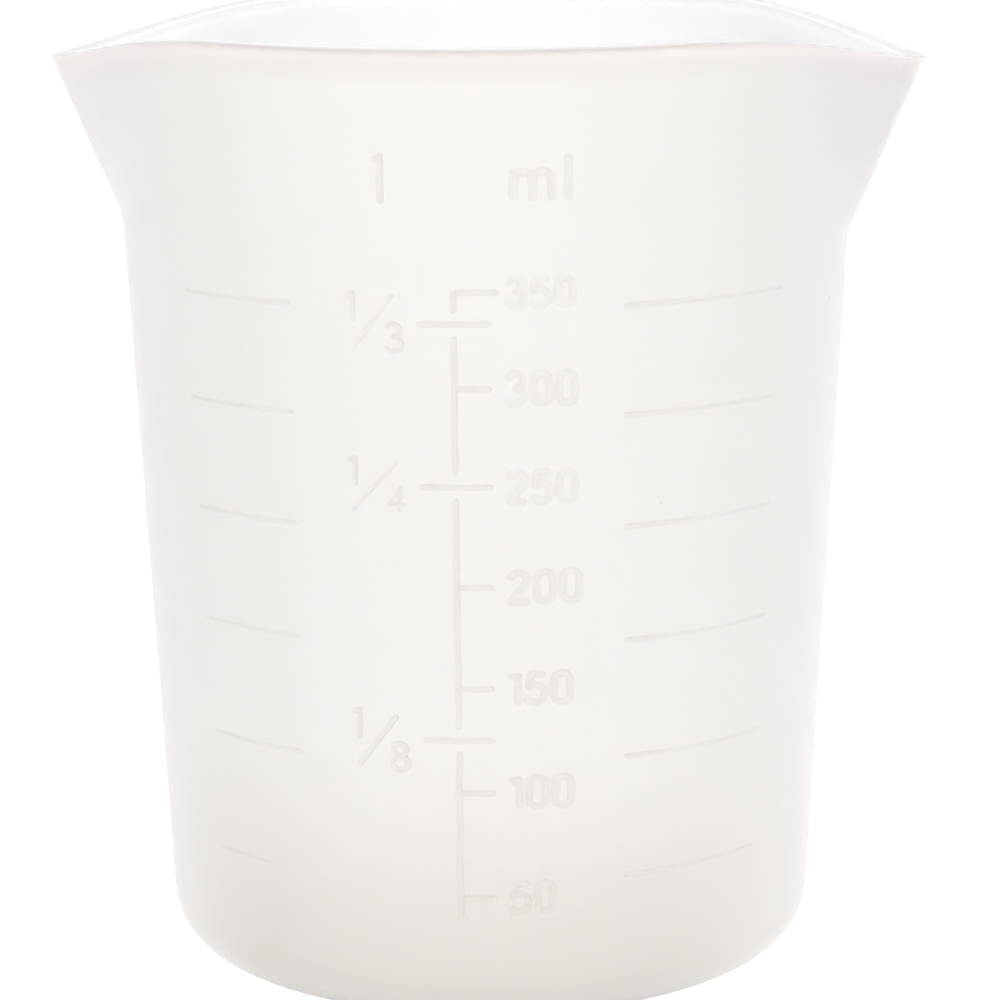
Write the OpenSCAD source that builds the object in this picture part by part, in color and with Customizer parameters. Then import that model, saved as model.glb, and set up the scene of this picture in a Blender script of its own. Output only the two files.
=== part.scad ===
// Soft translucent resin mixing cup with two pouring spouts and a raised volume scale.
// Millimetres. +Z is up, the origin is the centre of the underside,
// the scale faces -Y and the spouts point along +X and -X.

/* [Cup] */
// Outer diameter of the straight wall, carried down to the table
base_d = 74; // [66:0.5:78]
// Outer diameter of the rim between the spouts
rim_d = 85.4; // [82:0.2:92]
// Height of the rim over the table
rim_h = 108.3; // [98:0.1:125]
// Thickness of the wall, measured level
wall = 1.9; // [1.2:0.1:2.6]
// Thickness of the floor
floor_t = 2.6; // [1.6:0.1:4]
// Outside radius from the wall into the underside
corner_r = 7.3; // [4:0.1:10]
// Inside radius from the wall into the floor
inner_corner_r = 6.3; // [3:0.1:9]
// Size of the softened edges of the rim
rim_edge = 0.4; // [0.2:0.1:0.6]

/* [Spouts] */
// Distance from one spout's tip to the other's
spout_span = 99.5; // [95:0.5:106]
// Height over which a spout grows out of the wall, up to the rim
spout_drop = 24.4; // [16:0.2:26]
// Depth of the tip of a spout below the rim
spout_dip = 5.1; // [2:0.1:7]
// Angle from a spout's middle over which the rim dips
dip_angle = 55; // [40:1:70]
// Power of the rim's curve into the dip, where 1 is straight
dip_power = 1.83; // [1.2:0.01:2.6]
// Radius of a spout's nose, seen from above
nose_r = 9; // [4:0.5:12]
// Half of the height of the bend where a spout starts
spout_bend = 0.5; // [0.3:0.1:1]

/* [Scale] */
// Width of the raised marks
mark_w = 0.65; // [0.4:0.05:1]
// Height of the raised marks over the wall
mark_relief = 0.3; // [0.2:0.05:0.5]
// Length of a tick, from the middle of the scale's spine
tick_l = 3.95; // [2:0.05:6]
// Length of the topmost tick, from the middle of the spine
top_tick_l = 4.8; // [2:0.05:6]
// Break in the spine above and below a litre tick
spine_gap = 1.2; // [0.8:0.1:2]
// Length of the spine below its lowest tick
spine_tail = 2.2; // [1:0.1:4]
// Step of volume from one measuring ring to the next, in millilitres
ring_step = 56.8; // [50:0.1:57]
// Clear arc along the wall from the spine to a ring
ring_gap = 18.2; // [15:0.1:22]
// Angle from the front at which the rings end
ring_end = 62; // [45:1:75]

/* [Hidden] */
RING_COUNT = 6;
ML_MARKS = [50, 100, 150, 200, 300, 350];
LITRE_MARKS = [["eighth", 1000 / 8], ["quarter", 1000 / 4], ["third", 1000 / 3]];
SIDES = ["left", "right"];
SPINE_COUNT = len(LITRE_MARKS) + 1;

FRONT = -90;
CURVE_FN = 180;
// Steps of an arc in a wall profile
ARC_STEPS = 10;
// The spouted collar stands this deep in the wall below it, drawn in by this much
COLLAR_SEAT = 0.4;
COLLAR_INSET = 0.05;
// Clear wall between the topmost mark and the collar
COLLAR_CLEAR = 0.2;

slope = (rim_d - base_d) / 2 / rim_h;
lean = atan(slope);

function wall_r(z) = base_d / 2 + slope * z;
function bore_r(z) = wall_r(z) - wall;
function arc_angle(length, z) = length / wall_r(z) * 180 / PI;

// Volume in mm3 that the inside corner takes away from a sharp-cornered cone
corner_volume = 2 * PI * (bore_r(floor_t) - inner_corner_r / 4) * (1 - PI / 4) * pow(inner_corner_r, 2);

// Height at which the cup holds a volume in millilitres
function mark_z(ml) = let (
    filled = 1000 * ml + corner_volume,
    surface_r = pow(3 * slope * filled / PI + pow(bore_r(floor_t), 3), 1 / 3)
) (surface_r + wall - base_d / 2) / slope;

top_mark = ML_MARKS[len(ML_MARKS) - 1];
// Height of a spout's furthest point, under the softened edge of its tip
tip_z = rim_h - spout_dip - rim_edge;
// The spouts stay above the scale
collar_z = max(rim_h - spout_drop - spout_bend, mark_z(top_mark) + mark_w / 2 + COLLAR_CLEAR);
spout_z = collar_z + spout_bend;
spout_lean = (spout_span / 2 - wall_r(tip_z)) / (tip_z - spout_z);

// Distance of a spout's middle line outside the round wall
function spread(z) = let (rise = z - spout_z) spout_lean * (
    rise < -spout_bend ? 0
    : rise > spout_bend ? rise
    : pow(rise + spout_bend, 2) / (4 * spout_bend)
);

// Outline seen from above: a circle of radius r and a nose circle that reaches tip,
// joined by the lines that touch both. The angle a is counted from the spout's middle.
function outline(a, r, tip, nose) = let (
    centre = tip - nose,
    touch = acos(min(1, (r - nose) / centre)),
    nose_a = atan2(nose * sin(touch), centre + nose * cos(touch))
) a < nose_a ? centre * cos(a) + sqrt(pow(nose, 2) - pow(centre * sin(a), 2))
    : a < touch ? r / cos(touch - a)
    : r;

function spout_angle(turn) = abs((turn + 90) % 180 - 90);
function rim_z(a) = rim_h - spout_dip * pow(max(0, 1 - a / dip_angle), dip_power);

// A point of the collar, at a depth inside the outer surface
function collar_point(turn, z, depth) = let (
    r = outline(spout_angle(turn), wall_r(z) - depth, wall_r(z) + spread(z) - depth, nose_r - depth)
) [r * cos(turn), r * sin(turn), z];

// Arc from a start angle to an end angle round a centre in a profile
function arc(centre, r, from, to) = [
    for (i = [0 : ARC_STEPS]) let (a = from + (to - from) * i / ARC_STEPS)
        [centre[0] + r * cos(a), centre[1] + r * sin(a)]
];

// Centre of the arc of radius r that touches a floor at height z and a leaning wall
function corner_centre(wall_at_zero, z, r) = [wall_at_zero + slope * (z + r) - r / cos(lean), z + r];

// Floor, corner and straight wall, turned about the axis
module straight_body() {
    rotate_extrude($fn = CURVE_FN)
        polygon(concat(
            [[0, 0]],
            arc(corner_centre(base_d / 2, 0, corner_r), corner_r, -90, -lean),
            [[wall_r(collar_z), collar_z], [bore_r(collar_z), collar_z]],
            arc(corner_centre(base_d / 2 - wall, floor_t, inner_corner_r), inner_corner_r, -lean, -90),
            [[0, floor_t]]
        ));
}

// Turns at which the collar has a column of points, close together at the noses
NOSE_STEPS = 6;
NOSE_STEP_ANGLE = 1.5;
SIDE_STEPS = 19;
side_start = NOSE_STEPS * NOSE_STEP_ANGLE;
quarter = concat(
    [for (i = [0 : NOSE_STEPS - 1]) i * NOSE_STEP_ANGLE],
    [for (i = [0 : SIDE_STEPS]) side_start + (90 - side_start) * i / SIDE_STEPS]
);
last = len(quarter) - 1;
turns = concat(
    quarter,
    [for (i = [last - 1 : -1 : 0]) 180 - quarter[i]],
    [for (i = [1 : last]) 180 + quarter[i]],
    [for (i = [last - 1 : -1 : 1]) 360 - quarter[i]]
);

// Shares of the collar's height at which it has a row of points
COLLAR_LEVELS = [0.02, 0.05, 0.1, 0.25, 0.4, 0.55, 0.7, 0.85, 1];

function collar_row(level, depth) = [
    for (turn = turns)
        let (top = rim_z(spout_angle(turn)) - rim_edge)
        collar_point(turn, collar_z + level * (top - collar_z), depth)
];
function rim_row(depth) = [for (turn = turns) collar_point(turn, rim_z(spout_angle(turn)), depth)];
function seat_row(z, depth) = [for (turn = turns) collar_point(turn, z, depth)];

// Wall and rim with both spouts, as rows of points from the outside over the rim to the inside
module spouted_collar() {
    rows = concat(
        [seat_row(collar_z - COLLAR_SEAT, COLLAR_INSET), seat_row(collar_z, COLLAR_INSET)],
        [for (level = COLLAR_LEVELS) collar_row(level, 0)],
        [rim_row(rim_edge), rim_row(wall - rim_edge)],
        [for (i = [len(COLLAR_LEVELS) - 1 : -1 : 0]) collar_row(COLLAR_LEVELS[i], wall)],
        [seat_row(collar_z, wall - COLLAR_INSET), seat_row(collar_z - COLLAR_SEAT, wall - COLLAR_INSET)]
    );
    n = len(turns);
    m = len(rows);
    polyhedron(
        points = [for (row = rows) each row],
        faces = [
            for (i = [0 : m - 1]) for (j = [0 : n - 1])
                let (
                    a = i * n + j,
                    b = i * n + (j + 1) % n,
                    c = (i + 1) % m * n + (j + 1) % n,
                    d = (i + 1) % m * n + j
                )
                each [[a, d, c], [a, c, b]]
        ]
    );
}

module cup_shell() {
    color([0.95, 0.94, 0.93, 0.9])
        union() {
            straight_body();
            spouted_collar();
        }
}

// Raised strip on the wall, from one height to another and from one angle to another
module strip(z_low, z_high, from, to) {
    draft = min(mark_relief, mark_w) / 4;
    color([0.87, 0.86, 0.85])
        rotate([0, 0, FRONT + from])
            rotate_extrude(angle = to - from, $fn = CURVE_FN)
                polygon([
                    [wall_r(z_low), z_low],
                    [wall_r(z_low) + mark_relief, z_low + draft],
                    [wall_r(z_high) + mark_relief, z_high - draft],
                    [wall_r(z_high), z_high]
                ]);
}

module level_strip(ml, from, to) {
    strip(mark_z(ml) - mark_w / 2, mark_z(ml) + mark_w / 2, from, to);
}

// The spine is as wide as the other marks at the wall's middle height
spine_half_angle = arc_angle(mark_w / 2, rim_h / 2);
spine_stops = concat(
    [mark_z(ML_MARKS[0]) - spine_tail - spine_gap],
    [for (mark = LITRE_MARKS) mark_z(mark[1])],
    [mark_z(top_mark) + mark_w / 2 + spine_gap]
);

module spine(i) {
    strip(
        spine_stops[i - 1] + spine_gap,
        spine_stops[i] - spine_gap,
        -spine_half_angle,
        spine_half_angle
    );
}

module millilitre_tick(ml) {
    length = ml == top_mark ? top_tick_l : tick_l;
    level_strip(ml, spine_half_angle, arc_angle(length, mark_z(ml)));
}

module litre_tick(ml) {
    half = arc_angle(tick_l, mark_z(ml));
    level_strip(ml, -half, half);
}

module ring(side, i) {
    ml = i * ring_step;
    start = arc_angle(ring_gap, mark_z(ml));
    if (side == "left")
        level_strip(ml, -ring_end, -start);
    else
        level_strip(ml, start, ring_end);
}

cup_shell();
for (i = [1 : SPINE_COUNT])
    spine(i);
for (ml = ML_MARKS)
    millilitre_tick(ml);
for (mark = LITRE_MARKS)
    litre_tick(mark[1]);
for (side = SIDES) for (i = [1 : RING_COUNT])
    ring(side, i);
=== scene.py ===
"""A soft silicone cup for mixing resin, with two pouring spouts and a raised volume scale."""

import math

import bpy
from mathutils import Matrix, Vector


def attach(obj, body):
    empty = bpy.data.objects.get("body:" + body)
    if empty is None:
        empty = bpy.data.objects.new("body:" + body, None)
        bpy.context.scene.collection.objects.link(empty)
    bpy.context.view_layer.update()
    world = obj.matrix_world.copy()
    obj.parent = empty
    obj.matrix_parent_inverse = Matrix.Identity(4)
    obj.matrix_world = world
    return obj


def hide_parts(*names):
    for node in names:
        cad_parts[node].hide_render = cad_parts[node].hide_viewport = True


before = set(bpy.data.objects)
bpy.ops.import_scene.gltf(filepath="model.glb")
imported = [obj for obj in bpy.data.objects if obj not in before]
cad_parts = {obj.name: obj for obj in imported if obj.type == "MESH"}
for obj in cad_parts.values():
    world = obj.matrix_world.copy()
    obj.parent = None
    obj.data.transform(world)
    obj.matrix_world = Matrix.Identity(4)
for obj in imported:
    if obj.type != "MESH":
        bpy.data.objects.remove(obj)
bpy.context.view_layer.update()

MM = 0.001

# Cup body
# The real piece is one thick, milky moulding of soft silicone: floor, rounded foot, tapered wall
# and two spouts that are pulled out of the wall under the rim. It is cast in a closed mould, so
# its edges are softened and its skin is satin. Here a profile is swept round the axis by a rule.

BASE_D = 74 * MM
RIM_D = 85.38 * MM
RIM_H = 108.3 * MM
WALL = 1.9 * MM
FLOOR = 2.6 * MM
FOOT_R = 7.3 * MM
INNER_FOOT_R = 6.3 * MM
RIM_EDGE = 0.28 * MM
SPOUT_SPAN = 99.5 * MM
SPOUT_START = 83.96 * MM
SPOUT_BEND = 0.9 * MM
SPOUT_DIP = 5.89 * MM
DIP_ANGLE = math.radians(56.4)
DIP_POWER = 1.93
DIP_ROUND = math.radians(7.9)
NOSE_R = 9 * MM
# How far the rounded edge of a tip would stand out past the spout's own flank
TIP_EDGE_GROWTH = 0.035 * MM
# Steps of the mesh: round the cup, along a foot's arc, over an edge, and between these
COLUMNS = 480
FOOT_STEPS = 14
EDGE_STEPS = 6
RIM_TOP_STEPS = 3
BEND_STEPS = 12
SPOUT_STEPS = 16
WALL_STEPS = 8
FLOOR_STEPS = 4
# The bend at the foot of a spout gets rows this far above and below it
BEND_MARGIN = 1.0 * MM
# How much closer the columns stand at the noses of the spouts than at the front and back
NOSE_CROWDING = 0.32
WELD = 2e-6
# Less than this counts as no spout
NO_SPREAD = 0.1e-6

TAPER = (RIM_D - BASE_D) / 2 / RIM_H
LEAN = math.atan(TAPER)
COLLAR = SPOUT_START - SPOUT_BEND


def wall_radius(height):
    return BASE_D / 2 + TAPER * height


class Value:
    """A socket of a node tree. Sums on it add the Math nodes that work them out."""

    def __init__(self, graph, socket):
        self.graph = graph
        self.socket = socket

    def calc(self, operation, *others):
        return self.graph.maths(operation, self, *others)

    def __add__(self, other):
        return self.calc("ADD", other)

    def __radd__(self, other):
        return self.graph.maths("ADD", other, self)

    def __sub__(self, other):
        return self.calc("SUBTRACT", other)

    def __rsub__(self, other):
        return self.graph.maths("SUBTRACT", other, self)

    def __mul__(self, other):
        return self.calc("MULTIPLY", other)

    def __rmul__(self, other):
        return self.graph.maths("MULTIPLY", other, self)

    def __truediv__(self, other):
        return self.calc("DIVIDE", other)

    def __rtruediv__(self, other):
        return self.graph.maths("DIVIDE", other, self)

    def __pow__(self, other):
        return self.calc("POWER", other)

    def __lt__(self, other):
        return self.calc("LESS_THAN", other)

    def __gt__(self, other):
        return self.calc("GREATER_THAN", other)

    def __abs__(self):
        return self.calc("ABSOLUTE")

    def at_least(self, other):
        return self.calc("MAXIMUM", other)

    def at_most(self, other):
        return self.calc("MINIMUM", other)

    def between(self, low, high):
        return self.at_least(low).at_most(high)

    def where(self, test, otherwise):
        """This value where the test is 1, and the other one where it is 0."""
        return self * test + otherwise * (1 - test)


class Node:
    """A node just made. Its outputs are taken by name or number."""

    def __init__(self, graph, made):
        self.graph = graph
        self.made = made

    def __getitem__(self, key):
        return Value(self.graph, self.made.outputs[key])


class Graph:
    """A shader or geometry node tree that is written down as a list of calls."""

    def __init__(self, tree):
        self.tree = tree

    def node(self, kind, settings=None, sockets=None):
        made = self.tree.nodes.new(kind)
        for name, value in (settings or {}).items():
            setattr(made, name, value)
        for key, value in (sockets or {}).items():
            if isinstance(value, Value):
                self.tree.links.new(value.socket, made.inputs[key])
            else:
                made.inputs[key].default_value = value
        return Node(self, made)

    def maths(self, operation, *operands):
        return self.node("ShaderNodeMath", {"operation": operation}, dict(enumerate(operands)))[0]

    def xyz(self, x, y, z):
        return self.node("ShaderNodeCombineXYZ", None, {0: x, 1: y, 2: z})[0]

    def split(self, vector):
        parts = self.node("ShaderNodeSeparateXYZ", None, {0: vector})
        return parts[0], parts[1], parts[2]


def shape_tree(name, inputs):
    """A Geometry Nodes tree with the named inputs, and the group input node's values."""
    tree = bpy.data.node_groups.new(name, "GeometryNodeTree")
    tree.interface.new_socket("Geometry", in_out="INPUT", socket_type="NodeSocketGeometry")
    for label, kind in inputs:
        tree.interface.new_socket(label, in_out="INPUT", socket_type="NodeSocket" + kind)
    tree.interface.new_socket("Geometry", in_out="OUTPUT", socket_type="NodeSocketGeometry")
    graph = Graph(tree)
    return graph, graph.node("NodeGroupInput")


def end_tree(graph, geometry, material):
    """Closes a tree: realises its instances and gives them the material. Closes a tree
    in the way that the export needs.
    """
    real = graph.node("GeometryNodeRealizeInstances", None, {"Geometry": geometry})["Geometry"]
    painted = graph.node("GeometryNodeSetMaterial", None, {"Geometry": real, "Material": material})
    graph.node("NodeGroupOutput", None, {"Geometry": painted["Geometry"]})


def made_solid(name, data, tree, values):
    """Runs a tree over some data and returns a plain mesh object with the result."""
    source = bpy.data.objects.new(name + "_source", data)
    bpy.context.scene.collection.objects.link(source)
    modifier = source.modifiers.new("shape", "NODES")
    modifier.node_group = tree
    for item in tree.interface.items_tree:
        if item.in_out == "INPUT" and item.name in values:
            modifier[item.identifier] = values[item.name]
    graph = bpy.context.evaluated_depsgraph_get()
    mesh = bpy.data.meshes.new_from_object(source.evaluated_get(graph), depsgraph=graph)
    bpy.data.objects.remove(source)
    mesh.name = name
    piece = bpy.data.objects.new(name, mesh)
    bpy.context.scene.collection.objects.link(piece)
    return piece


def arc(centre, radius, start, end, steps):
    """Points of an arc in a flat profile, with its angles in degrees."""
    angles = [math.radians(start + (end - start) * i / steps) for i in range(steps + 1)]
    return [(centre[0] + radius * math.cos(a), centre[1] + radius * math.sin(a)) for a in angles]


def straight(start, end, steps):
    """Points between two points of a profile, without the two themselves."""
    return [
        tuple(s + (e - s) * i / steps for s, e in zip(start, end))
        for i in range(1, steps)
    ]


def foot_centre(wall_at_zero, height, radius):
    """Centre of the arc that touches a floor and a leaning wall."""
    return wall_at_zero + TAPER * (height + radius) - radius / math.cos(LEAN), height + radius


def cup_profile():
    """Half of the cup's section without its spouts, from under the floor round to the inside."""
    lean = math.degrees(LEAN)
    outer_centre = foot_centre(BASE_D / 2, 0, FOOT_R)
    inner_centre = foot_centre(BASE_D / 2 - WALL, FLOOR, INNER_FOOT_R)
    outer_foot = arc(outer_centre, FOOT_R, -90, -lean, FOOT_STEPS)
    inner_foot = arc(inner_centre, INNER_FOOT_R, -lean, -90, FOOT_STEPS)
    edge_z = RIM_H - RIM_EDGE
    outer_edge_r = wall_radius(edge_z) - RIM_EDGE
    inner_edge_r = wall_radius(edge_z) - WALL + RIM_EDGE
    outer_edge = arc((outer_edge_r, edge_z), RIM_EDGE, 0, 90, EDGE_STEPS)
    inner_edge = arc((inner_edge_r, edge_z), RIM_EDGE, 90, 180, EDGE_STEPS)
    bend_low = COLLAR - BEND_MARGIN
    bend_high = SPOUT_START + SPOUT_BEND + BEND_MARGIN

    def wall_run(inset):
        def on_wall(height):
            return wall_radius(height) - inset, height

        low, high = on_wall(bend_low), on_wall(bend_high)
        bend = [low] + straight(low, high, BEND_STEPS) + [high]
        return bend + straight(high, on_wall(edge_z), SPOUT_STEPS)

    outer_wall = wall_run(0)
    inner_wall = wall_run(WALL)[::-1]
    return (
        [(0, 0)]
        + straight((0, 0), outer_foot[0], FLOOR_STEPS)
        + outer_foot
        + straight(outer_foot[-1], outer_wall[0], WALL_STEPS)
        + outer_wall
        + outer_edge
        + straight(outer_edge[-1], inner_edge[0], RIM_TOP_STEPS)
        + inner_edge
        + inner_wall
        + straight(inner_wall[-1], inner_foot[0], WALL_STEPS)
        + inner_foot
        + straight(inner_foot[-1], (0, FLOOR), FLOOR_STEPS)
        + [(0, FLOOR)]
    )


def cup_tree():
    """Turns the profile round the axis, pulls the spouts out and lets the rim dip to them."""
    graph, given = shape_tree(
        "cup wall",
        [
            ("Columns", "Int"),
            ("Base Radius", "Float"),
            ("Taper", "Float"),
            ("Rim Height", "Float"),
            ("Collar Height", "Float"),
            ("Spout Start", "Float"),
            ("Spout Bend", "Float"),
            ("Spout Lean", "Float"),
            ("Spout Dip", "Float"),
            ("Dip Angle", "Float"),
            ("Dip Power", "Float"),
            ("Dip Round", "Float"),
            ("Nose Radius", "Float"),
            ("Material", "Material"),
        ],
    )
    profile = given["Geometry"]
    rows = graph.node("GeometryNodeAttributeDomainSize", None, {"Geometry": profile})["Point Count"]
    columns = given["Columns"]
    sheet = graph.node(
        "GeometryNodeMeshGrid", None, {"Vertices X": columns + 1, "Vertices Y": rows}
    )["Mesh"]
    number = graph.node("GeometryNodeInputIndex")[0]
    row = number.calc("FLOORED_MODULO", rows)
    column = (number / rows).calc("FLOOR")
    point = graph.node(
        "GeometryNodeSampleIndex",
        {"data_type": "FLOAT_VECTOR", "domain": "POINT"},
        {
            "Geometry": profile,
            "Value": graph.node("GeometryNodeInputPosition")[0],
            "Index": row,
        },
    )[0]
    radius, _, height = graph.split(point)

    even = column / columns * (2 * math.pi)
    turn = even - NOSE_CROWDING * (even * 2).calc("SINE")
    cosine, sine = turn.calc("COSINE"), turn.calc("SINE")
    angle = abs(sine).calc("ARCTAN2", abs(cosine))

    eased = (angle * angle + given["Dip Round"] * given["Dip Round"]).calc("SQRT")
    dip = given["Spout Dip"] * (1 - eased / given["Dip Angle"]).at_least(0) ** given["Dip Power"]
    collar = given["Collar Height"]
    share = ((height - collar) / (given["Rim Height"] - collar)).between(0, 1)
    lowered = height - dip * share
    depth = given["Base Radius"] + given["Taper"] * height - radius
    circle = given["Base Radius"] + given["Taper"] * lowered - depth

    rise = lowered - given["Spout Start"]
    bend = given["Spout Bend"]
    bent = (rise.at_most(bend) + bend).at_least(0)
    spread = given["Spout Lean"] * (bent * bent / (bend * 4) + (rise - bend).at_least(0))

    nose = given["Nose Radius"] - depth
    centre = circle + spread - nose
    touch = ((circle - nose) / centre).between(-1, 1).calc("ARCCOSINE")
    nose_end = (nose * touch.calc("SINE")).calc("ARCTAN2", centre + nose * touch.calc("COSINE"))
    across = centre * angle.calc("SINE")
    past = (nose * nose - across * across).at_least(0).calc("SQRT")
    on_nose = centre * angle.calc("COSINE") + past
    on_flank = circle / (touch - angle).calc("COSINE")
    pulled = on_nose.where(angle < nose_end, on_flank.where(angle < touch, circle))
    reach = pulled.where(spread > NO_SPREAD, circle)

    body = graph.node(
        "GeometryNodeSetPosition",
        None,
        {"Geometry": sheet, "Position": graph.xyz(reach * cosine, reach * sine, lowered)},
    )["Geometry"]
    closed = graph.node(
        "GeometryNodeMergeByDistance", None, {"Geometry": body, "Distance": WELD}
    )["Geometry"]
    smooth = graph.node("GeometryNodeSetShadeSmooth", None, {"Geometry": closed})["Geometry"]
    end_tree(graph, smooth, given["Material"])
    return graph.tree


def new_material(name):
    """A material with an empty graph, and that graph."""
    made = bpy.data.materials.new(name)
    made.use_nodes = True
    made.node_tree.nodes.clear()
    return made, Graph(made.node_tree)


def noise(graph, place, size, detail=2.0, roughness=0.5):
    """Noise with features of about that size, from 0 to 1."""
    return graph.node(
        "ShaderNodeTexNoise",
        None,
        {"Vector": place, "Scale": 1 / size, "Detail": detail, "Roughness": roughness},
    )["Fac"]


def smooth_step(graph, value, low, high):
    """0 up to low and 1 from high, with a soft way between."""
    return graph.node(
        "ShaderNodeMapRange",
        {"interpolation_type": "SMOOTHSTEP"},
        {"Value": value, "From Min": low, "From Max": high, "To Min": 0.0, "To Max": 1.0},
    )["Result"]


def blend(graph, share, first, second):
    """A colour between two colours."""
    mixed = graph.node(
        "ShaderNodeMix", {"data_type": "RGBA"}, {"Factor": share, "A": first, "B": second}
    )
    return mixed[2]


# Nearer to the axis than this no direction counts as outwards
AXIS_R = 1 * MM


def facing(graph, place):
    """How much the skin faces outwards, upwards and along the wall to the right."""
    across, along, up = graph.split(graph.node("ShaderNodeTexCoord")["Normal"])
    x, y, _ = graph.split(place)
    reach = (x * x + y * y).calc("SQRT").at_least(AXIS_R)
    outwards = (across * x + along * y) / reach
    sideways = (along * x - across * y) / reach
    return outwards, up, sideways


# Sizes of what varies in the silicone. The streaks are drawn out upwards
CLOUD_SIZE = 34 * MM
STREAK_SIZE = 11 * MM
STREAK_SQUEEZE = 0.22
HAZE_SIZE = 6 * MM
GRAIN_SIZE = 0.35 * MM
SPECK_SPACING = 17 * MM
SPECK_EDGE = (0.010, 0.017)
BUMP_DEPTH = 0.05 * MM
SCATTER_DEPTH = 5.0 * MM

# Tones on the wall: where it is thinner, and painted light inside, painted shade towards the sides,
# in the spouts and at the foot
MILK = (0.925, 0.875, 0.843, 1)
THIN_MILK = (0.895, 0.841, 0.808, 1)
PAINTED_INNER_LIGHT = (0.985, 0.983, 0.980, 1)
PAINTED_SIDE_SHADE = (0.915, 0.852, 0.868, 1)
PAINTED_SPOUT_SHADE = (0.83, 0.825, 0.82, 1)
PAINTED_FOOT_SHADE = (0.715, 0.684, 0.660, 1)
# Painted shade along the rim: under it outside and inside, on top of it, and on its outer edge; and
# the grey of the specks, which are the silicone's own
PAINTED_UNDER_RIM_SHADE = (0.795, 0.757, 0.736, 1)
PAINTED_LIP_SHADE = (0.70, 0.695, 0.69, 1)
PAINTED_CROWN_SHADE = (0.52, 0.515, 0.51, 1)
PAINTED_EDGE_SHADE = (0.45, 0.44, 0.435, 1)
SPECK_GREY = (0.45, 0.42, 0.40, 1)

# Where a tone starts and ends: sideways from the middle of the cup
SIDE_REACH = (33 * MM, 36.5 * MM)
SPOUT_REACH = (33 * MM, 45 * MM)
UNDER_RIM_SHADE_REACH = (8 * MM, 34 * MM)
EDGE_REACH = (20 * MM, 42 * MM)
FOOT_REACH = (20 * MM, 36 * MM)
# By height
SPOUT_HEIGHTS = (80 * MM, 95 * MM)
CROWN_HEIGHTS = (90 * MM, 95 * MM)
FOOT_HEIGHTS = (3 * MM, 36 * MM)
# By depth under the rim, where the painted shade of the outer edge reaches deeper at the tips
LIP_DEPTHS = (0.3 * MM, 1.5 * MM)
UNDER_RIM_SHADE_DEPTHS = (0.8 * MM, 4.5 * MM)
EDGE_START = 0.27 * MM
EDGE_DEPTH = 1.3 * MM
EDGE_DEPTH_TO_TIP = 1.2 * MM


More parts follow.
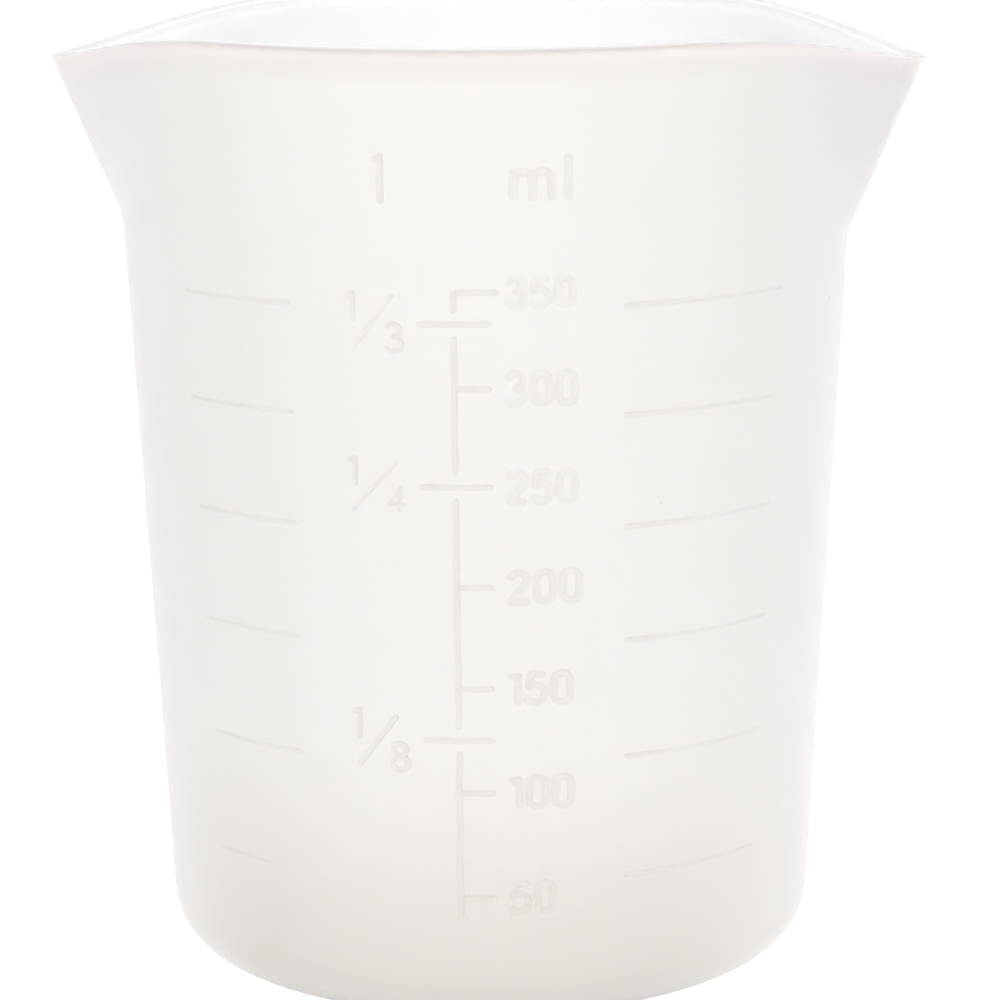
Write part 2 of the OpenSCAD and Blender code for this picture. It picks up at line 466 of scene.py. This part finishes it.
def silicone_material():
    """Milky silicone with a satin skin, slightly clouded, with painted light inside and painted
    shade along its rounded rim, in its spouts, at its sides and at its foot.
    """
    made, graph = new_material("milky_silicone")
    place = graph.node("ShaderNodeTexCoord")["Object"]
    upright = graph.node(
        "ShaderNodeMapping", None, {"Vector": place, "Scale": (1, 1, STREAK_SQUEEZE)}
    )[0]
    clouds = noise(graph, place, CLOUD_SIZE, 3.0, 0.55)
    streaks = noise(graph, upright, STREAK_SIZE)
    grain = noise(graph, place, GRAIN_SIZE)
    haze = noise(graph, place, HAZE_SIZE, 4.0, 0.6)

    outwards, up, _ = facing(graph, place)
    inside = smooth_step(graph, outwards * -1, -0.25, 0.25)
    outside = smooth_step(graph, outwards, 0.1, 0.5)
    x, y, height = graph.split(place)
    aside = abs(x)
    turn = abs(y).calc("ARCTAN2", aside)
    eased = (turn * turn + DIP_ROUND**2).calc("SQRT")
    rim = RIM_H - SPOUT_DIP * (1 - eased / DIP_ANGLE).at_least(0) ** DIP_POWER
    below = rim - height

    # Masks for painted shade: at the sides, in the spouts, under the rim inside and out, on its
    # top, on its outer edge and at the foot
    side = smooth_step(graph, aside, *SIDE_REACH)
    spout = smooth_step(graph, aside, *SPOUT_REACH) * smooth_step(graph, height, *SPOUT_HEIGHTS)
    lip = 1 - smooth_step(graph, below, *LIP_DEPTHS)
    crown = smooth_step(graph, up, 0.3, 0.9) * smooth_step(graph, height, *CROWN_HEIGHTS)
    under_rim_shade = 1 - smooth_step(graph, below, *UNDER_RIM_SHADE_DEPTHS)
    under_rim_shade = under_rim_shade * (1 - smooth_step(graph, aside, *UNDER_RIM_SHADE_REACH) * 0.55)
    depth = EDGE_DEPTH + (1 - turn / DIP_ANGLE).at_least(0) * EDGE_DEPTH_TO_TIP
    band = (1 - (below - EDGE_START) / depth).between(0, 1) ** 3
    band = band * (1 - smooth_step(graph, aside, *EDGE_REACH) * 0.35)
    edge = band.at_least(smooth_step(graph, up, 0.05, 0.4))
    foot = 1 - smooth_step(graph, height, *FOOT_HEIGHTS)
    foot = foot * (1 - smooth_step(graph, aside, *FOOT_REACH) * 0.5)
    dust = graph.node(
        "ShaderNodeTexVoronoi",
        None,
        {"Vector": place, "Scale": 1 / SPECK_SPACING, "Randomness": 1.0},
    )["Distance"]
    speck = 1 - smooth_step(graph, dust, *SPECK_EDGE)

    thinness = (clouds * 0.7 + streaks * 0.3 - 0.35).between(0, 1)
    colour = blend(graph, thinness, MILK, THIN_MILK)
    # Painted light inside, and painted shade at the sides, in the spouts, under the rim, on its
    # top, on its outer edge and at the foot; the specks are the silicone's own
    for share, tone in (
        (side * 0.6, PAINTED_SIDE_SHADE),
        (inside, PAINTED_INNER_LIGHT),
        (spout * (1 - outside), PAINTED_SPOUT_SHADE),
        (lip * inside, PAINTED_LIP_SHADE),
        (crown, PAINTED_CROWN_SHADE),
        (under_rim_shade * outside, PAINTED_UNDER_RIM_SHADE),
        (edge * outside, PAINTED_EDGE_SHADE),
        (foot * (1 - inside), PAINTED_FOOT_SHADE),
        (speck * 0.5, SPECK_GREY),
    ):
        colour = blend(graph, share, colour, tone)

    surface = graph.node(
        "ShaderNodeBump",
        None,
        {"Strength": 0.25, "Distance": BUMP_DEPTH, "Height": grain + haze * 1.2},
    )["Normal"]
    shader = graph.node(
        "ShaderNodeBsdfPrincipled",
        None,
        {
            "Base Color": colour,
            "Roughness": 0.27 + haze * 0.12,
            "IOR": 1.41,
            "Normal": surface,
            "Subsurface Weight": 0.8,
            "Subsurface Radius": (1.0, 0.92, 0.86),
            "Subsurface Scale": SCATTER_DEPTH,
            "Coat Weight": (0.35 + inside * 0.65 * (1 - spout)) * (1 - crown),
            "Coat Roughness": 0.1,
        },
    )["BSDF"]
    graph.node("ShaderNodeOutputMaterial", None, {"Surface": shader})
    return made


silicone = silicone_material()
half_section = bpy.data.meshes.new("cup_profile")
section_points = cup_profile()
half_section.from_pydata(
    [(radius, 0, height) for radius, height in section_points],
    [(i, i + 1) for i in range(len(section_points) - 1)],
    [],
)
tip_z = RIM_H - SPOUT_DIP * (1 - DIP_ROUND / DIP_ANGLE) ** DIP_POWER - RIM_EDGE
tip_spread = SPOUT_SPAN / 2 - TIP_EDGE_GROWTH - wall_radius(tip_z)
cup_body = made_solid(
    "cup_body",
    half_section,
    cup_tree(),
    {
        "Columns": COLUMNS,
        "Base Radius": BASE_D / 2,
        "Taper": TAPER,
        "Rim Height": RIM_H - RIM_EDGE,
        "Collar Height": COLLAR,
        "Spout Start": SPOUT_START,
        "Spout Bend": SPOUT_BEND,
        "Spout Lean": tip_spread / (tip_z - SPOUT_START),
        "Spout Dip": SPOUT_DIP,
        "Dip Angle": DIP_ANGLE,
        "Dip Power": DIP_POWER,
        "Dip Round": DIP_ROUND,
        "Nose Radius": NOSE_R,
        "Material": silicone,
    },
)
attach(cup_body, "root")
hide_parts("cup_shell")

# Raised lines of the scale
# Spine and ticks stand proud of the wall because they were engraved in the mould, so they are of
# the same silicone, with rounded backs and ends. Here they are strokes drawn flat, along the wall
# and up, which a tree gives their round back and then wraps round the cone.

MARK_W = 0.65 * MM
LINE_W = 0.48 * MM
# How far a stroke's soft foot reaches past it at each side, and how deep it sits in the wall
STROKE_FOOT = 0.09 * MM
MARK_SEAT = 0.25 * MM
# A stroke's back and underside start this far in the wall
BACK_START = 0.004 * MM
UNDERSIDE_START = 0.01 * MM
STROKE_STEP = 0.09 * MM
STROKE_SIDES = 20
STROKE_WELD = 1e-6
# How far a full stroke stands out, which the rings and the letters don't reach
FULL_RELIEF = 0.13 * MM
# A stroke sunk this deep shows no more than a trace
FAINT_DEPTH = 0.035 * MM
TICK_L = 3.95 * MM
TOP_TICK_L = 4.8 * MM
SPINE_GAP = 1.2 * MM
SPINE_TAIL = 2.2 * MM
ML_TICKS = [50, 100, 150, 200, 300, 350]
LITRE_TICKS = [125, 250, 1000 / 3]

FILL_CORNER = 2 * math.pi * (1 - math.pi / 4) * INNER_FOOT_R**2 * (
    wall_radius(FLOOR) - WALL - INNER_FOOT_R / 4
)


def mark_height(millilitres):
    """Height at which the cup holds that volume."""
    litres = millilitres * 1e-6 + FILL_CORNER
    surface_r = (3 * TAPER * litres / math.pi + (wall_radius(FLOOR) - WALL) ** 3) ** (1 / 3)
    return (surface_r + WALL - BASE_D / 2) / TAPER


def stroke_tree():
    """Gives flat strokes a round back and soft ends, and lays them on the cone."""
    graph, given = shape_tree(
        "raised strokes",
        [
            ("Stroke Width", "Float"),
            ("Relief", "Float"),
            ("Seat", "Float"),
            ("Step", "Float"),
            ("Base Radius", "Float"),
            ("Taper", "Float"),
            ("Material", "Material"),
        ],
    )
    half = given["Stroke Width"] / 2
    line = graph.node(
        "GeometryNodeResampleCurve",
        {"mode": "LENGTH"},
        {"Curve": given["Geometry"], "Length": given["Step"]},
    )["Curve"]
    line = graph.node("GeometryNodeSetCurveNormal", {"mode": "Z_UP"}, {"Curve": line})["Curve"]
    along = graph.node("GeometryNodeSplineParameter")["Length"]
    whole = graph.node("GeometryNodeSplineLength")["Length"]
    closed = graph.node("GeometryNodeInputSplineCyclic")[0]
    to_end = (along.at_most(whole - along) / half).between(0, 1)
    round_end = (1 - (1 - to_end) * (1 - to_end)).at_least(0).calc("SQRT").at_least(closed)
    drawn = graph.node("GeometryNodeInputRadius")[0]
    _, _, lifted = graph.split(graph.node("GeometryNodeInputPosition")[0])
    line = graph.node(
        "GeometryNodeStoreNamedAttribute",
        {"data_type": "FLOAT", "domain": "POINT"},
        {"Geometry": line, "Name": "faint", "Value": (lifted / -FAINT_DEPTH).between(0, 1)},
    )["Geometry"]
    ring = graph.node(
        "GeometryNodeCurvePrimitiveCircle", None, {"Resolution": STROKE_SIDES, "Radius": 1.0}
    )
    across, out, _ = graph.split(graph.node("GeometryNodeInputPosition")[0])
    back = smooth_step(graph, 1 - abs(across), 0.0, 0.7) * given["Relief"] - BACK_START
    under = out * given["Seat"] - UNDERSIDE_START
    section = graph.node(
        "GeometryNodeSetPosition",
        None,
        {
            "Geometry": ring["Curve"],
            "Position": graph.xyz(across * half, back.where(out > 0.01, under), 0.0),
        },
    )["Geometry"]
    swept = graph.node(
        "GeometryNodeCurveToMesh",
        None,
        {"Curve": line, "Profile Curve": section, "Scale": drawn * round_end},
    )["Mesh"]
    swept = graph.node(
        "GeometryNodeMergeByDistance", None, {"Geometry": swept, "Distance": STROKE_WELD}
    )["Geometry"]

    length, height, proud = graph.split(graph.node("GeometryNodeInputPosition")[0])
    swept = graph.node(
        "GeometryNodeStoreNamedAttribute",
        {"data_type": "FLOAT", "domain": "POINT"},
        {"Geometry": swept, "Name": "rise", "Value": proud / FULL_RELIEF},
    )["Geometry"]
    radius = given["Base Radius"] + given["Taper"] * height
    turn = length / radius
    reach = radius + proud
    wrapped = graph.node(
        "GeometryNodeSetPosition",
        None,
        {
            "Geometry": swept,
            "Position": graph.xyz(
                reach * turn.calc("SINE"),
                reach * turn.calc("COSINE") * -1,
                height - proud * given["Taper"],
            ),
        },
    )["Geometry"]
    smooth = graph.node("GeometryNodeSetShadeSmooth", None, {"Geometry": wrapped})["Geometry"]
    end_tree(graph, smooth, given["Material"])
    return graph.tree


MARK_GRAIN_SIZE = 0.3 * MM
MOTTLE_SIZE = 2.2 * MM
MARK_BUMP_DEPTH = 0.04 * MM
# Tones at the foot of a mark, and the painted shade on its crest and on its flanks that face up or
# to the right
MARK_FOOT = (0.985, 0.965, 0.950, 1)
PAINTED_CREST_SHADE = (0.93, 0.90, 0.88, 1)
MARK_SHADE = (0.80, 0.765, 0.74, 1)
# How much of the painted shade on its crest and flanks a sunk mark loses, and how much its relief
# bends light
FAINT_LOSS = 0.75
NORMAL_SHARE = 0.3


def mark_material():
    """The same silicone, with painted shade on the crest of a mark and on its flanks that face up
    or to the right.
    """
    made, graph = new_material("raised_silicone")
    place = graph.node("ShaderNodeTexCoord")["Object"]
    grain = noise(graph, place, MARK_GRAIN_SIZE)
    mottle = noise(graph, place, MOTTLE_SIZE, 3.0, 0.6)
    outwards, up, sideways = facing(graph, place)
    rise = graph.node("ShaderNodeAttribute", {"attribute_name": "rise"})["Fac"]
    faint = graph.node("ShaderNodeAttribute", {"attribute_name": "faint"})["Fac"]
    clear = 1 - faint * FAINT_LOSS
    # Painted shade: the crest of a mark darker the more it stands out, and its flanks that face up
    # or to the right darker
    crest = smooth_step(graph, rise, 0.2, 0.95) * (0.75 + mottle * 0.5) * clear
    colour = blend(graph, crest, MARK_FOOT, PAINTED_CREST_SHADE)
    shaded = ((up * 0.8 + sideways * 0.6) * 2 - 0.35).between(0, 1) * (0.5 + mottle * 0.6)
    colour = blend(graph, shaded * 0.6 * clear, colour, MARK_SHADE)
    x, y, _ = graph.split(place)
    radial = graph.xyz(x, y, (x * x + y * y).calc("SQRT") * -TAPER)
    radial = graph.node("ShaderNodeVectorMath", {"operation": "NORMALIZE"}, {0: radial})[0]
    own = graph.node("ShaderNodeNewGeometry")["Normal"]
    flat = graph.node(
        "ShaderNodeMix", {"data_type": "VECTOR"}, {"Factor": NORMAL_SHARE, "A": radial, "B": own}
    )[1]
    surface = graph.node(
        "ShaderNodeBump",
        None,
        {"Strength": 0.2, "Distance": MARK_BUMP_DEPTH, "Height": grain, "Normal": flat},
    )["Normal"]
    shader = graph.node(
        "ShaderNodeBsdfPrincipled",
        None,
        {
            "Base Color": colour,
            "Roughness": 0.46 + mottle * 0.12,
            "IOR": 1.12,
            "Transmission Weight": 0.75,
            "Normal": surface,
        },
    )["BSDF"]
    graph.node("ShaderNodeOutputMaterial", None, {"Surface": shader})
    return made


def drawing(name, strokes):
    """Curve data with a spline for each stroke: points, whether it closes, widths and depths."""
    data = bpy.data.curves.new(name, "CURVE")
    data.dimensions = "3D"
    for points, closed, widths, depths in strokes:
        spline = data.splines.new("POLY")
        spline.points.add(len(points) - 1)
        for point, (along, up), width, depth in zip(spline.points, points, widths, depths):
            point.co = (along, up, -depth, 1)
            point.radius = width
        spline.use_cyclic_u = closed
    return data


def stroke(*points, weight=1.0, sunk=0.0):
    """A stroke of even width through those points."""
    return points, False, [weight] * len(points), [sunk] * len(points)


def raised(name, strokes, nodes, width=MARK_W, relief=FULL_RELIEF):
    """A piece with those strokes on the wall, in the place of the CAD nodes."""
    piece = made_solid(
        name,
        drawing(name + "_lines", strokes),
        raised_strokes,
        {
            "Stroke Width": width + 2 * STROKE_FOOT,
            "Relief": relief,
            "Seat": MARK_SEAT,
            "Step": STROKE_STEP,
            "Base Radius": BASE_D / 2,
            "Taper": TAPER,
            "Material": raised_silicone,
        },
    )
    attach(piece, "root")
    if nodes:
        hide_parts(*nodes)
    # The wall glows through its own raised lines, so they take no light from it
    piece.visible_shadow = False
    piece.visible_diffuse = False
    return piece


raised_silicone = mark_material()
raised_strokes = stroke_tree()

spine_ends = (
    [mark_height(ML_TICKS[0]) - SPINE_TAIL - SPINE_GAP]
    + [mark_height(ml) for ml in LITRE_TICKS]
    + [mark_height(ML_TICKS[-1]) + MARK_W / 2 + SPINE_GAP]
)
spine_lines = [
    stroke((0, low + SPINE_GAP), (0, high - SPINE_GAP))
    for low, high in zip(spine_ends, spine_ends[1:])
]
tick_lines = [
    stroke(
        (0, mark_height(ml)),
        (TOP_TICK_L if ml == ML_TICKS[-1] else TICK_L, mark_height(ml)),
    )
    for ml in ML_TICKS
] + [
    stroke((-TICK_L, mark_height(ml)), (TICK_L, mark_height(ml)))
    for ml in LITRE_TICKS
]
raised(
    "scale_lines",
    spine_lines + tick_lines,
    sorted(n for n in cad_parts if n.startswith(("spine_", "tick_"))),
    width=LINE_W,
)

# Measuring rings
# Six thin ribs run round each side of the cup, one for every two fluid ounces, of the same
# silicone. They sink into the wall towards the spouts, where the mould's engraving runs out, and
# are faintest at the left and at the foot.

RING_STEP = 56.8
RING_COUNT = 6
RING_GAP = 18.2 * MM
RING_POINTS = 40
LEFT, RIGHT = -1, 1
RING_END = {LEFT: math.radians(48), RIGHT: math.radians(56)}
RING_FADE_START = math.radians(26)
RING_FADE_END = math.radians(40)
RING_RELIEF = 0.08 * MM
# How much narrower a ring gets, and the width of the left ones
RING_FADE = 0.3
LEFT_SHARE = 0.85
# How far a ring sinks into the wall where it is faintest, and the share of it from the start
RING_SUNK = 0.034 * MM
LEFT_SUNK = 0.75
LOWEST_SUNK = 0.8


def ring_line(side, number):
    """The stroke of a ring, counted from the foot, with its widths and depths."""
    height = mark_height(number * RING_STEP)
    radius = wall_radius(height)
    start = RING_GAP / radius
    full = LEFT_SHARE if side == LEFT else 1.0
    sunk = max(LEFT_SUNK if side == LEFT else 0.0, LOWEST_SUNK if number == 1 else 0.0)
    points, widths, depths = [], [], []
    for i in range(RING_POINTS + 1):
        turn = start + (RING_END[side] - start) * i / RING_POINTS
        points.append((side * turn * radius, height))
        faded = (turn - RING_FADE_START) / (RING_FADE_END - RING_FADE_START)
        faded = min(max(faded, 0.0), 1.0)
        widths.append(full * (1 - RING_FADE * faded))
        depths.append(RING_SUNK * (sunk + (1 - sunk) * faded))
    return points, False, widths, depths


raised(
    "measuring_rings",
    [ring_line(side, n) for side in (LEFT, RIGHT) for n in range(1, RING_COUNT + 1)],
    sorted(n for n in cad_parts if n.startswith("ring_")),
    width=LINE_W,
    relief=RING_RELIEF,
)

# Numerals and unit letters
# The figures of the scale are single-line strokes, cut in the mould with a round cutter, so
# each is a plain raised line of even width. They are drawn here as arcs and straight strokes.


def bow(cx, cy, rx, ry, start, end, steps=20):
    """Points of a part of an ellipse, with its angles in degrees."""
    angles = [math.radians(start + (end - start) * i / steps) for i in range(steps + 1)]
    return [(cx + rx * math.cos(a), cy + ry * math.sin(a)) for a in angles]


# Each figure is a width and its strokes, in units of the figure's height
FIGURES = {
    "0": (
        0.52,
        [(bow(0.26, 0.74, 0.26, 0.26, 0, 180) + bow(0.26, 0.26, 0.26, 0.26, 180, 360), True)],
    ),
    "1": (0.26, [([(0, 0.9), (0.26, 0.93)], False), ([(0.26, 1), (0.26, 0)], False)]),
    "2": (
        0.52,
        [
            (bow(0.26, 0.74, 0.255, 0.26, 165, -38) + [(0, 0)], False),
            ([(0, 0), (0.52, 0)], False),
        ],
    ),
    "3": (
        0.52,
        [
            (bow(0.25, 0.765, 0.225, 0.235, 160, -90), False),
            (bow(0.25, 0.265, 0.27, 0.265, 90, -160), False),
        ],
    ),
    "4": (
        0.54,
        [
            ([(0.40, 1), (0, 0.27), (0.54, 0.27)], False),
            ([(0.40, 1), (0.40, 0)], False),
        ],
    ),
    "5": (
        0.52,
        [
            ([(0.48, 1), (0.08, 1), (0.03, 0.52)], False),
            ([(0.03, 0.52)] + bow(0.23, 0.315, 0.29, 0.315, 115, -150), False),
        ],
    ),
    "8": (
        0.52,
        [
            (bow(0.26, 0.775, 0.215, 0.225, 0, 360)[:-1], True),
            (bow(0.26, 0.275, 0.26, 0.275, 0, 360)[:-1], True),
        ],
    ),
}


def drawn_out(points, by):
    """The same stroke, longer at both ends by what its soft ends take away."""
    ends = []
    for (x, y), (from_x, from_y) in ((points[0], points[1]), (points[-1], points[-2])):
        share = by / math.hypot(x - from_x, y - from_y)
        ends.append((x + share * (x - from_x), y + share * (y - from_y)))
    return [ends[0]] + points[1:-1] + [ends[1]]


FIGURE_GAP = 0.36 * MM
# What a soft end takes from a stroke, in widths of the pen
SOFT_END = 0.4


def written(text, left, right, low, high, pen, weight=1.0, sunk=0.0):
    """The strokes of a number whose drawn marks fill a box on the wall."""
    tall = high - low - pen
    spaces = (len(text) - 1) * (pen + FIGURE_GAP)
    stretch = (right - left - pen - spaces) / sum(FIGURES[c][0] for c in text)
    strokes = []
    x = left + pen / 2
    for figure in text:
        width, lines = FIGURES[figure]
        for points, closed in lines:
            placed = [(x + stretch * px, low + pen / 2 + tall * py) for px, py in points]
            if not closed:
                placed = drawn_out(placed, SOFT_END * pen)
            strokes.append((placed, closed, [weight] * len(placed), [sunk] * len(placed)))
        x += stretch * width + pen + FIGURE_GAP
    return strokes


# Number, left and right end along the wall, height, and how far it is sunk, in millimetres
ML_NUMBERS = [
    (350, 5.34, 12.96, 3.5, 0.055),
    (300, 5.23, 13.13, 3.9, 0.022),
    (250, 5.33, 13.08, 3.9, 0.025),
    (200, 5.33, 13.47, 3.9, 0.008),
    (150, 5.22, 12.41, 3.9, 0),
    (100, 5.21, 12.46, 3.9, 0),
    (50, 5.31, 10.38, 3.9, 0),
]
numeral_strokes = []
for ml, left, right, tall, depth in ML_NUMBERS:
    low = mark_height(ml) - tall / 2 * MM
    high = mark_height(ml) + tall / 2 * MM
    numeral_strokes += written(
        str(ml), left * MM, right * MM, low, high, MARK_W, sunk=depth * MM
    )
raised("millilitre_numbers", numeral_strokes, None)

# Divisor, the boxes of the 1 and of the divisor, the two ends of the slash, how bold divisor and
# slash are, and how far the slash is sunk, all in millimetres but the boldness
FRACTIONS = [
    (
        "3",
        (-11.99, -10.62, 79.26, 82.91),
        (-7.68, -5.17, 76.03, 79.68),
        ((-6.39, 82.67), (-11.06, 76.47)),
        0.8,
        0.03,
    ),
    (
        "4",
        (-11.94, -10.67, 61.53, 65.05),
        (-7.57, -5.26, 58.84, 61.95),
        ((-6.16, 64.66), (-11.58, 58.65)),
        0.68,
        0.012,
    ),
    (
        "8",
        (-12.24, -10.70, 33.20, 37.07),
        (-7.66, -5.30, 29.73, 33.37),
        ((-6.67, 36.30), (-11.28, 30.25)),
        1.0,
        0,
    ),
]
ONE_WEIGHT = 0.9
LITRE_WEIGHT = 1.15


def in_mm(values):
    """Those millimetres as metres."""
    return tuple(value * MM for value in values)


fraction_strokes = []
for divisor, one_box, divisor_box, slash, bold, depth in FRACTIONS:
    fraction_strokes += written(
        "1", *in_mm(one_box), MARK_W, weight=ONE_WEIGHT, sunk=depth * MM / 2
    )
    fraction_strokes += written(divisor, *in_mm(divisor_box), MARK_W, weight=bold)
    fraction_strokes.append(
        stroke(*(in_mm(end) for end in slash), weight=bold, sunk=depth * MM)
    )
# The litre's sign is a plain upright stroke with a flag, as the figure 1 is
LITRE_SIGN = (-8.84, -7.28, 92.0, 97.55)
fraction_strokes += written("1", *in_mm(LITRE_SIGN), MARK_W, weight=LITRE_WEIGHT)
raised("litre_fractions", fraction_strokes, None, width=LINE_W)

LETTER_W = 0.76 * MM
LETTER_RELIEF = 0.09 * MM
LETTER_SUNK = 0.02 * MM
LETTER_LOW = 92.42 * MM
LETTER_X_HEIGHT = 95.89 * MM - LETTER_W / 2
LETTER_TOP = 97.45 * MM
M_STEMS = [6.38 * MM, 8.42 * MM, 10.46 * MM]
ML_L = 12.2 * MM


def letter_stroke(*points):
    return stroke(*points, sunk=LETTER_SUNK)


def arch(left, right):
    """One arch of the m and the stem it runs into."""
    half = (right - left) / 2
    spring = LETTER_X_HEIGHT - half
    return letter_stroke(*bow(left + half, spring, half, half, 165, 0, 14), (right, LETTER_LOW))


unit_strokes = [
    letter_stroke((M_STEMS[0], LETTER_LOW), (M_STEMS[0], LETTER_X_HEIGHT + LETTER_W / 2)),
    arch(M_STEMS[0], M_STEMS[1]),
    arch(M_STEMS[1], M_STEMS[2]),
    letter_stroke((ML_L, LETTER_LOW), (ML_L, LETTER_TOP)),
]
raised("unit_letters", unit_strokes, None, width=LETTER_W, relief=LETTER_RELIEF)

# Studio
# The cup stands on a white table in a white sweep, which shines from behind and from above. One
# broad softbox stands in front of it above the camera, and one hangs almost over it.

FLOOR_SIZE = 3.0
# The gap under the foot, so that the underside and the table don't lie in one plane
TABLE_GAP = 0.02 * MM
KEY_PLACE = (-0.1, -1.5, 0.55)
KEY_SIZE = 0.9
KEY_POWER = 5.6
TOP_PLACE = (0.15, -0.35, 1.4)
TOP_SIZE = 0.9
TOP_POWER = 13.5
AIM = Vector((0, 0, 0.055))
# The board under the cup, painted lighter to send more light to the cup's foot, and the open table,
# and the distances between which one becomes the other
UNDER_CUP_PAINTED_LIGHT = (0.84, 0.84, 0.84, 1)
OPEN_TABLE = (0.6, 0.6, 0.6, 1)
TABLE_FADE = (45 * MM, 75 * MM)
# How strong the table's white is, and the share of it that the eye gets
TABLE_WHITE = 1.15
EYE_SHARE = 0.92
# Strength of the sweep in mirror images and of its light: from behind, more of it from behind at
# the right, from the right, from overhead, and less of it from overhead at the right
SWEEP_MIRRORED = 0.72
SWEEP_BEHIND = 1.488
SWEEP_BEHIND_RIGHT = 0.8
SWEEP_RIGHT = 0.08
SWEEP_OVERHEAD = 1.44
SWEEP_OVERHEAD_RIGHT = 0.4
OVERHEAD_FROM = (0.35, 0.95)


def table_material():
    """White for the eye, and for the light that it sends back to the cup a pale board, painted
    lighter under the cup.
    """
    made, graph = new_material("studio_table")
    path = graph.node("ShaderNodeLightPath")
    seen = path["Is Camera Ray"] * EYE_SHARE
    mirrored = path["Is Glossy Ray"].at_least(path["Is Transmission Ray"])
    x, y, _ = graph.split(graph.node("ShaderNodeTexCoord")["Object"])
    away = smooth_step(graph, (x * x + y * y).calc("SQRT"), *TABLE_FADE)
    # Painted light: the board sends more light back from under the cup than from the open table
    shade = blend(graph, away, UNDER_CUP_PAINTED_LIGHT, OPEN_TABLE)
    board = graph.node(
        "ShaderNodeBsdfPrincipled", None, {"Base Color": shade, "Roughness": 0.9}
    )["BSDF"]
    white = graph.node("ShaderNodeEmission", None, {"Strength": TABLE_WHITE})["Emission"]
    mixed = graph.node(
        "ShaderNodeMixShader", None, {0: seen.at_least(mirrored), 1: board, 2: white}
    )["Shader"]
    # Seen from below, the table lets the eye through to the cup's underside
    below = graph.node("ShaderNodeNewGeometry")["Backfacing"] * path["Is Camera Ray"]
    clear = graph.node("ShaderNodeBsdfTransparent")["BSDF"]
    mixed = graph.node("ShaderNodeMixShader", None, {0: below, 1: mixed, 2: clear})["Shader"]
    graph.node("ShaderNodeOutputMaterial", None, {"Surface": mixed})
    return made


table_mesh = bpy.data.meshes.new("studio_table")
side = FLOOR_SIZE / 2
table_mesh.from_pydata(
    [(x * side, y * side, -TABLE_GAP) for x, y in ((-1, -1), (1, -1), (1, 1), (-1, 1))],
    [],
    [(0, 1, 2, 3)],
)
table = bpy.data.objects.new("studio_table", table_mesh)
bpy.context.scene.collection.objects.link(table)
table_mesh.materials.append(table_material())

world = bpy.data.worlds.new("white_sweep")
world.use_nodes = True
world.node_tree.nodes.clear()
sky = Graph(world.node_tree)
path = sky.node("ShaderNodeLightPath")
mirrored = path["Is Glossy Ray"].at_least(path["Is Transmission Ray"])
seen = path["Is Camera Ray"].at_least(mirrored)
shown = path["Is Camera Ray"] + mirrored * SWEEP_MIRRORED
rightwards, backwards, upwards = sky.split(sky.node("ShaderNodeTexCoord")["Generated"])
overhead = smooth_step(sky, upwards, *OVERHEAD_FROM)
from_behind = backwards * (SWEEP_BEHIND + rightwards * SWEEP_BEHIND_RIGHT)
level = (from_behind + rightwards * SWEEP_RIGHT).at_least(0)
above = SWEEP_OVERHEAD - rightwards * SWEEP_OVERHEAD_RIGHT
ambient = level * (1 - overhead) + above * overhead
background = sky.node(
    "ShaderNodeBackground",
    None,
    {"Color": (1, 1, 1, 1), "Strength": shown + ambient * (1 - seen)},
)
sky.node("ShaderNodeOutputWorld", None, {"Surface": background["Background"]})
bpy.context.scene.world = world


def softbox(name, place, size, power):
    """A round lamp at that place, turned to the middle of the cup."""
    light = bpy.data.lights.new(name, "AREA")
    light.shape = "DISK"
    light.size = size
    light.energy = power
    lamp = bpy.data.objects.new(name, light)
    bpy.context.scene.collection.objects.link(lamp)
    lamp.visible_glossy = False
    turned = (AIM - Vector(place)).to_track_quat("-Z", "Y").to_matrix().to_4x4()
    lamp.matrix_world = Matrix.Translation(place) @ turned
    return lamp


softbox("key_softbox", KEY_PLACE, KEY_SIZE, KEY_POWER)
softbox("top_softbox", TOP_PLACE, TOP_SIZE, TOP_POWER)

# Camera
# The place, tilt and lens that put the rim, the rings and the ticks where the photograph has
# them. The cup is turned a little to the left of the camera's own axis.

CAMERA_TURN = math.radians(4.7)
CAMERA_PLACE = Vector((1.389, -439.54, 143.437)) * MM
CAMERA_PITCH = math.radians(11.74)
CAMERA_ROLL = math.radians(-0.356)
CAMERA_LENS = 138.59

camera_data = bpy.data.cameras.new("camera")
camera_data.sensor_width = 36
camera_data.lens = CAMERA_LENS
camera_data.clip_start = 0.01
camera = bpy.data.objects.new("camera", camera_data)
bpy.context.scene.collection.objects.link(camera)
tilt = Matrix.Rotation(math.pi / 2 - CAMERA_PITCH, 4, "X")
camera.matrix_world = (
    Matrix.Rotation(CAMERA_TURN, 4, "Z")
    @ Matrix.Translation(CAMERA_PLACE)
    @ tilt
    @ Matrix.Rotation(CAMERA_ROLL, 4, "Z")
)
bpy.context.scene.camera = camera
bpy.context.scene.view_settings.view_transform = "Standard"
